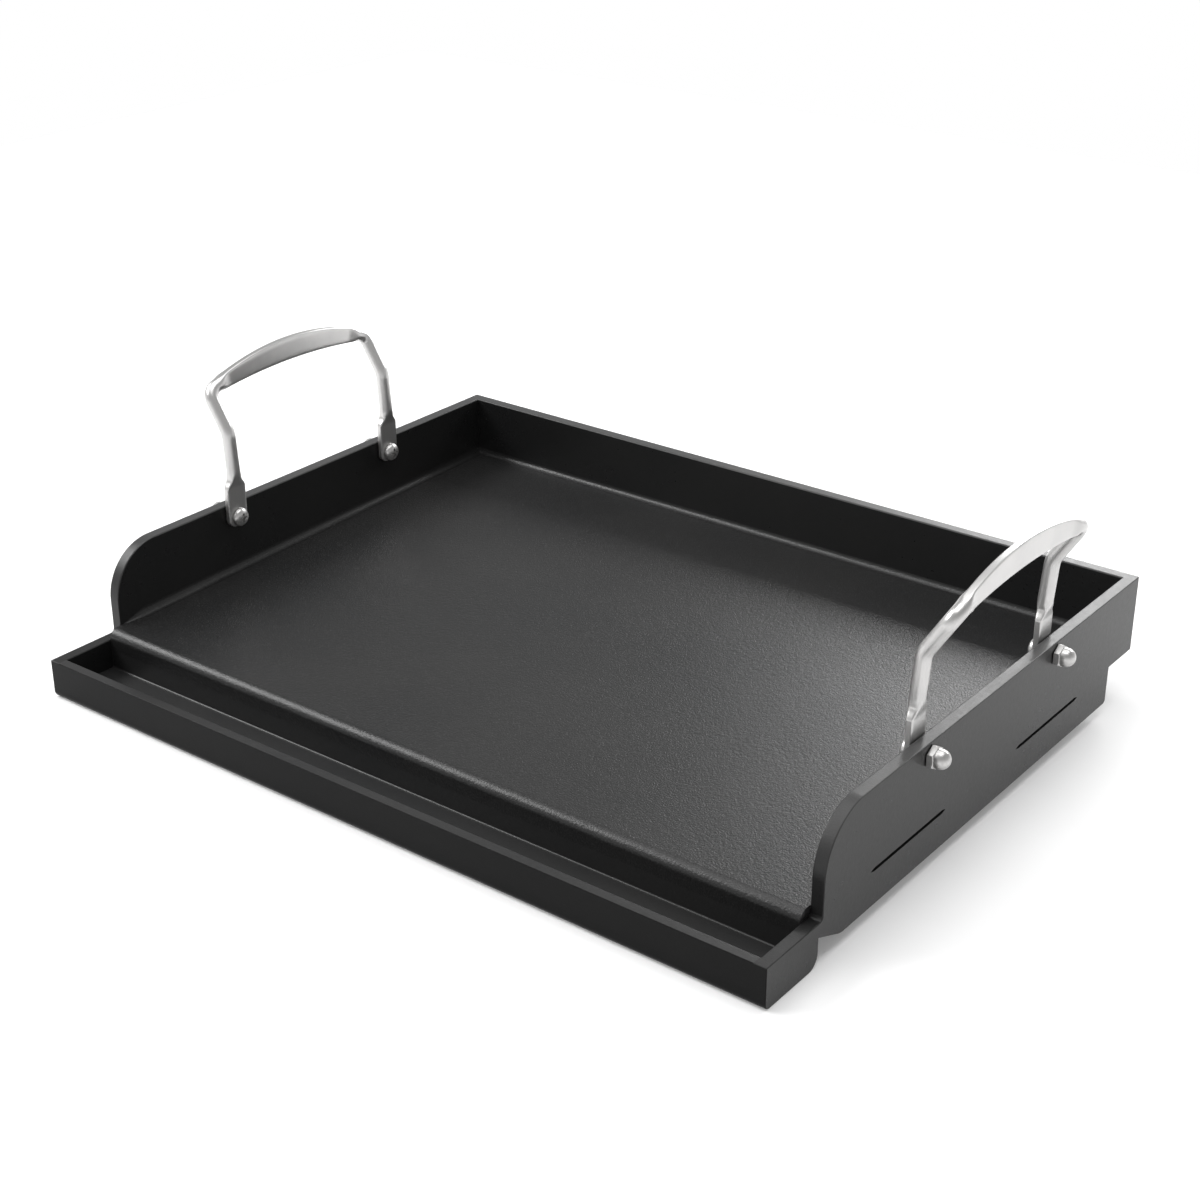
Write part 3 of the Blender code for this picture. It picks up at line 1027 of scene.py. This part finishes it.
@dataclass
class RodHandle:
    """A bent rod, pressed flat where it is bolted on and along its grip."""

    steel: bpy.types.Material
    screws: Sequence[Point]
    tab_t: float = 0.0036
    tab_w: float = 0.0128
    tab_bottom: float = 0.0550
    tab_corner: float = 0.0038
    shoulder_z: float = 0.0765
    rod_start: float = 0.0860
    rod_r: float = 0.0037
    bend_z: float = 0.1071
    bend_out: float = 0.0015
    bend_r: float = 0.0120
    grip_out: float = 0.0143
    grip_end: float = 0.1275
    grip_mid: float = 0.1356
    grip_w: float = 0.0127
    grip_t: float = 0.0040
    corner_r: float = 0.0070
    corner_reach: float = 0.95
    tab_steps: int = 8
    neck_steps: int = 14
    neck_rate: float = 1.7
    grip_steps: int = 40
    flat_square: float = 7.0
    round_square: float = 2.0
    press_share: float = 0.15
    hole_r: float = 0.0033
    sides: int = 40

    def __post_init__(self) -> None:
        """Take the tab's place from the frame and the screws."""
        self.tab_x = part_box("right_side_panel")[0].x - self.tab_t / 2 - 0.0003
        self.front_y = min(y for y, _ in self.screws)
        self.rear_y = max(y for y, _ in self.screws)
        self.middle_y = (self.front_y + self.rear_y) / 2

    def grip_height(self, along: float) -> float:
        """Return the height of the grip's centre line.

        Args:
            along: The distance from the front leg.

        Returns:
            The height in metres.
        """
        off_middle = along / (self.middle_y - self.front_y) - 1
        return self.grip_mid - (self.grip_mid - self.grip_end) * off_middle * off_middle

    def leg(self) -> List[Vector]:
        """Return the centre line of the front leg, from tab to grip."""
        inwards = self.corner_r * self.corner_reach
        lean_x = self.tab_x + self.bend_out
        grip_x = self.tab_x + self.grip_out
        points = [
            Vector((self.tab_x, self.front_y, self.rod_start)),
            Vector((lean_x, self.front_y, self.bend_z)),
            Vector((grip_x, self.front_y, self.grip_end)),
            Vector((grip_x, self.front_y + inwards, self.grip_height(inwards))),
        ]
        path = [points[0]]
        bends = zip(points, points[1:], points[2:], (self.bend_r, self.corner_r))
        for before, corner, after, radius in bends:
            to_before = (before - corner).normalized()
            to_after = (after - corner).normalized()
            half = to_before.angle(to_after) / 2
            centre = corner + (to_before + to_after).normalized() * (radius / math.sin(half))
            start = corner + to_before * (radius / math.tan(half)) - centre
            end = corner + to_after * (radius / math.tan(half)) - centre
            sweep = start.angle(end)
            steps = max(4, math.ceil(sweep / math.radians(5)))
            for step in range(steps + 1):
                path.append(centre + Matrix.Rotation(sweep * step / steps, 3, start.cross(end)) @ start)
        path.append(points[-1])
        return path

    def half_stations(self) -> List[Tuple[Vector, float, float, Vector, float]]:
        """Return the front half as (centre, width, thickness, across, squareness)."""
        across = Vector((0, 1, 0))
        up = Vector((0, 0, 1))
        rod = 2 * self.rod_r
        flatter = self.flat_square - self.round_square
        stations = []
        corner = self.tab_corner
        tip = 0.15
        for step in range(self.tab_steps + 1):
            angle = math.radians(90) * (step + tip) / (self.tab_steps + tip)
            width = self.tab_w - 2 * corner * (1 - math.sin(angle))
            centre = Vector((self.tab_x, self.front_y, self.tab_bottom + corner * (1 - math.cos(angle))))
            stations.append((centre, width, self.tab_t, across, self.flat_square))
        rise = self.rod_start - self.shoulder_z
        for step in range(self.neck_steps):
            blend = step / self.neck_steps
            rounded = eased(blend)
            width = self.tab_w + (rod - self.tab_w) * eased(blend * self.neck_rate)
            thickness = self.tab_t + (rod - self.tab_t) * rounded
            centre = Vector((self.tab_x, self.front_y, self.shoulder_z + rise * blend))
            stations.append((centre, width, thickness, across, self.flat_square - flatter * rounded))
        leg = self.leg()
        for point in leg:
            turn = eased((point.y - self.front_y) / self.corner_r)
            stations.append((point, rod, rod, across.lerp(-up, turn).normalized(), self.round_square))
        reach = leg[-1].y - self.front_y
        span = self.middle_y - self.front_y
        for step in range(1, self.grip_steps + 1):
            share = step / self.grip_steps
            along = reach + (span - reach) * share
            pressed = eased(share / self.press_share)
            centre = Vector((self.tab_x + self.grip_out, self.front_y + along, self.grip_height(along)))
            width = rod + (self.grip_w - rod) * (1 - (1 - share) * (1 - share))
            thickness = rod + (self.grip_t - rod) * pressed
            stations.append((centre, width, thickness, -up, self.round_square + flatter * pressed))
        return stations

    def section(self, width: float, thickness: float, squareness: float) -> List[Point]:
        """Return the corners of a round, oval or flattened section.

        Args:
            width: The full width.
            thickness: The full thickness.
            squareness: 2 for an ellipse, and more for flatter faces.

        Returns:
            The corners as (across, out).
        """
        corners = []
        power = 2 / squareness
        for side in range(self.sides):
            angle = 2 * math.pi * (side + 0.5) / self.sides
            c, s = math.cos(angle), math.sin(angle)
            across = math.copysign(abs(c) ** power, c) * width / 2
            corners.append((across, math.copysign(abs(s) ** power, s) * thickness / 2))
        return corners

    def rings(self) -> Rings:
        """Return the whole handle's rings, from the front tab to the rear one."""
        front = self.half_stations()
        mirror = Matrix.Diagonal((1, -1, 1))
        shift = Vector((0, 2 * self.middle_y, 0))
        rear = [(mirror @ c + shift, w, t, mirror @ a, q) for c, w, t, a, q in reversed(front[:-1])]
        stations = front + rear
        rings = []
        for index, (centre, width, thickness, across, squareness) in enumerate(stations):
            before = stations[max(0, index - 1)][0]
            after = stations[min(len(stations) - 1, index + 1)][0]
            along = (after - before).normalized()
            across = (across - along * across.dot(along)).normalized()
            out = along.cross(across)
            corners = self.section(width, thickness, squareness)
            rings.append([centre + across * u + out * v for u, v in corners])
        return rings

    def build(self) -> None:
        """Make both handles."""
        right = drawn_out("right_rod_handle", self.rings())
        for y, z in self.screws:
            hole = pin(self.tab_x - self.tab_t, self.tab_x + self.tab_t, self.hole_r)
            hole.data.transform(Matrix.Translation((0, y, z)))
            combine(right, hole, "DIFFERENCE")
        half_turn = (
            Matrix.Translation((0, self.middle_y, 0))
            @ Matrix.Rotation(math.pi, 4, "Z")
            @ Matrix.Translation((0, -self.middle_y, 0))
        )
        left = copied(right, "left_rod_handle", half_turn)
        for handle, node in ((left, "left_handle"), (right, "right_handle")):
            dress(handle, [self.steel], [node], 40)


@dataclass
class Fasteners:
    """The four domed screws and the four acorn nuts that clamp the handles."""

    plating: bpy.types.Material
    screws: Sequence[Point]
    shank_r: float = 0.0027
    head_r: float = 0.0050
    head_h: float = 0.0036
    head_rim: float = 0.0011
    edge: float = 0.0003
    recess_length: float = 0.0052
    recess_width: float = 0.0012
    recess_depth: float = 0.0020
    nut_af: float = 0.0098
    nut_hex_h: float = 0.0032
    nut_h: float = 0.0090
    dome_r: float = 0.0046
    bore_r: float = 0.0030
    bore_depth: float = 0.0062
    chamfer: float = 0.0006
    nut_round: float = 0.00025

    def __post_init__(self) -> None:
        """Take the seats from the frame."""
        head_low, head_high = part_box("right_front_screw")
        self.head_seat = head_low.x + self.head_h
        self.shank_end = head_high.x
        self.nut_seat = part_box("right_front_acorn_nut")[0].x

    def screw(self) -> bpy.types.Object:
        """Return a screw on the X axis, with its head towards the middle."""
        seat, end, edge = self.head_seat, self.shank_end, self.edge
        dome_r = self.head_r - edge * 0.4
        profile = [
            (end, 0),
            (end, self.shank_r - edge),
            (end - edge, self.shank_r),
            (seat, self.shank_r),
            (seat, self.head_r - edge),
            (seat - edge, self.head_r),
            (seat - self.head_rim + edge, self.head_r),
            (seat - self.head_rim, dome_r),
        ]
        steps = 12
        for step in range(1, steps + 1):
            angle = math.radians(90) * step / steps
            rise = self.head_rim + (self.head_h - self.head_rim) * math.sin(angle)
            profile.append((seat - rise, dome_r * math.cos(angle) if step < steps else 0))
        body = turned("screw_pattern", profile)
        top = seat - self.head_h
        arms = ((self.recess_length, self.recess_width), (self.recess_width, self.recess_length))
        for size_y, size_z in arms:
            low = (top - self.recess_depth, -size_y / 2, -size_z / 2)
            high = (top + self.recess_depth, size_y / 2, size_z / 2)
            combine(body, block("recess_tool", low, high), "DIFFERENCE")
        return body

    def nut(self) -> bpy.types.Object:
        """Return an acorn nut on the X axis, with its dome outwards."""
        seat = self.nut_seat
        corner = self.nut_af / math.cos(math.radians(30)) / 2
        bpy.ops.mesh.primitive_cylinder_add(
            vertices=6, radius=corner, depth=self.nut_hex_h,
            location=(seat + self.nut_hex_h / 2, 0, 0), rotation=(0, math.radians(90), 0),
        )
        bpy.ops.object.transform_apply(location=True, rotation=True, scale=True)
        body = named("nut_pattern")
        body.data.transform(Matrix.Rotation(math.radians(30), 4, "X"))
        sharp = math.radians(40)
        apply(body, "BEVEL", width=self.nut_round, segments=2, limit_method="ANGLE", angle_limit=sharp)
        end = seat + self.nut_hex_h
        flat = self.nut_af / 2
        limits = turned("chamfer_tool", [
            (seat - self.chamfer, 0),
            (seat - self.chamfer, corner + self.chamfer),
            (end - self.chamfer, corner + self.chamfer),
            (end - self.chamfer, corner - 0.0001),
            (end + 0.0001, flat - 0.0004),
            (end + 0.0001, 0),
        ])
        combine(body, limits, "INTERSECT")
        base = end - self.chamfer
        profile = [(base, 0), (base, self.dome_r)]
        centre = seat + self.nut_h - self.dome_r
        steps = 14
        for step in range(steps + 1):
            angle = math.radians(90) * step / steps
            radius = self.dome_r * math.cos(angle) if step < steps else 0
            profile.append((centre + self.dome_r * math.sin(angle), radius))
        combine(body, turned("dome_tool", profile), "UNION")
        combine(body, pin(seat - self.chamfer, seat + self.bore_depth, self.bore_r), "DIFFERENCE")
        return body

    def build(self) -> None:
        """Make every screw and nut from one pattern of each."""
        patterns = (("domed_screw", "screw", self.screw()), ("dome_nut", "acorn_nut", self.nut()))
        for kind, node, pattern in patterns:
            for side in Side:
                for place, (y, z) in zip(("front", "rear"), self.screws):
                    turn = Matrix.Rotation(0 if side is Side.RIGHT else math.pi, 4, "Z")
                    label = f"{side.name.lower()}_{place}"
                    piece = copied(pattern, f"{label}_{kind}", Matrix.Translation((0, y, z)) @ turn)
                    dress(piece, [self.plating], [f"{label}_{node}"], 35)
            bpy.data.objects.remove(pattern, do_unlink=True)


@dataclass(frozen=True)
class Softbox:
    """A rectangular soft light that faces the griddle.

    Its azimuth is 0 to the rear and 90 to the right, in degrees. Its power is in watts.
    """

    name: str
    azimuth: float
    elevation: float
    distance: float
    size: Point
    power: float

    def build(self) -> None:
        """Hang the light."""
        data = bpy.data.lights.new(self.name, "AREA")
        data.shape = "RECTANGLE"
        data.size, data.size_y = self.size
        data.energy = self.power
        item = bpy.data.objects.new(self.name, data)
        a, e = math.radians(self.azimuth), math.radians(self.elevation)
        away = Vector((math.sin(a) * math.cos(e), math.cos(a) * math.cos(e), math.sin(e)))
        item.location = away * self.distance
        item.rotation_euler = (-away).to_track_quat("-Z", "Y").to_euler()
        bpy.context.scene.collection.objects.link(item)


@dataclass
class Studio:
    """The camera, the soft lights and the pale ground."""

    camera_at: Tuple[float, float, float] = (0.5710, -0.7372, 0.5034)
    camera_target: Tuple[float, float, float] = (0.0024, 0.0050, 0.0531)
    lens: float = 62.27
    ground_size: float = 2.4
    sky: Tuple[Point, ...] = ((0.0, 1.0), (0.28, 0.52), (0.75, 0.34))
    lights: Tuple[Softbox, ...] = (
        Softbox("front_left_box", -118, 40, 2.2, (1.6, 0.8), 34),
        Softbox("rear_right_box", -2, 27, 2.4, (1.75, 0.8), 40),
        Softbox("overhead_box", 0, 90, 2.0, (1.8, 1.8), 30),
    )

    def camera(self) -> None:
        """Place the camera."""
        data = bpy.data.cameras.new("camera")
        data.lens = self.lens
        data.sensor_width = 36.0
        data.clip_start = 0.01
        item = bpy.data.objects.new("camera", data)
        item.location = self.camera_at
        aim = Vector(self.camera_target) - Vector(self.camera_at)
        item.rotation_euler = aim.to_track_quat("-Z", "Y").to_euler()
        bpy.context.scene.collection.objects.link(item)
        bpy.context.scene.camera = item

    def ground(self) -> None:
        """Lay the pale ground under the griddle."""
        bpy.ops.mesh.primitive_plane_add(size=self.ground_size)
        floor = named("studio_ground")
        floor.data.materials.append(StudioFloor().build())

    def surroundings(self) -> None:
        """Light the room softly, brightest at the horizon and below it."""
        graph = Graph("studio", "worlds")
        place = graph.node("ShaderNodeTexCoord").outputs["Generated"]
        split = graph.node("ShaderNodeSeparateXYZ", None, {0: place})
        stops = [(height, grey(light)) for height, light in self.sky]
        ramp = graph.node("ShaderNodeValToRGB", {"stops": stops}, {0: split.outputs[2]})
        back = graph.node("ShaderNodeBackground", None, {"Color": ramp.outputs[0]})
        graph.node("ShaderNodeOutputWorld", None, {0: back.outputs[0]})
        bpy.context.scene.world = graph.owner

    def build(self) -> None:
        """Set up the camera, lights and ground."""
        self.camera()
        self.surroundings()
        self.ground()
        for light in self.lights:
            light.build()
        bpy.context.scene.view_settings.view_transform = "Standard"


def screw_places() -> List[Point]:
    """Return each screw's (y, z) on a side, front first, from the frame."""
    places = []
    for node in ("right_front_screw", "right_rear_screw"):
        low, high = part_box(node)
        places.append(((low.y + high.y) / 2, (low.z + high.z) / 2))
    return places


def main() -> None:
    """Build the griddle plate and its studio."""
    logging.basicConfig(level=logging.INFO, format="%(message)s")
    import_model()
    Studio().build()
    coatings = (
        BakedCoating("baked_coating"),
        BakedCoating(
            "wall_coating", tone=0.010, roughness=0.30, grain_strength=0.12, fleck=0.003, specular=0.3,
        ),
        # Rim coating: its lighter tone is a painted sheen on the rims, and its fade with height is painted
        # light and shade.
        BakedCoating(
            "painted_sheen_rim_coating", tone=0.042, fleck=0.02, roughness=0.34, grain_strength=0.25, specular=0.28,
            painted_shade_tone=0.012, painted_shade_below=0.040, painted_light_above=0.066,
        ),
        # Front coating: its very dark, dull tone is painted shade on the front faces.
        BakedCoating(
            "painted_shade_front_coating", tone=0.006, fleck=0.002, roughness=0.34, grain_strength=0.12, specular=0.08,
        ),
        BakedCoating(
            "channel_coating", tone=0.018, fleck=0.006, roughness=0.32, grain_strength=0.2, specular=0.38,
        ),
    )
    screws = screw_places()
    WeldedPan(*(coating.build() for coating in coatings), screws).build()
    RodHandle(SatinSteel("satin_steel").build(), screws).build()
    Fasteners(PlatedSteel("plated_steel").build(), screws).build()


if __name__ == "__main__":
    main()
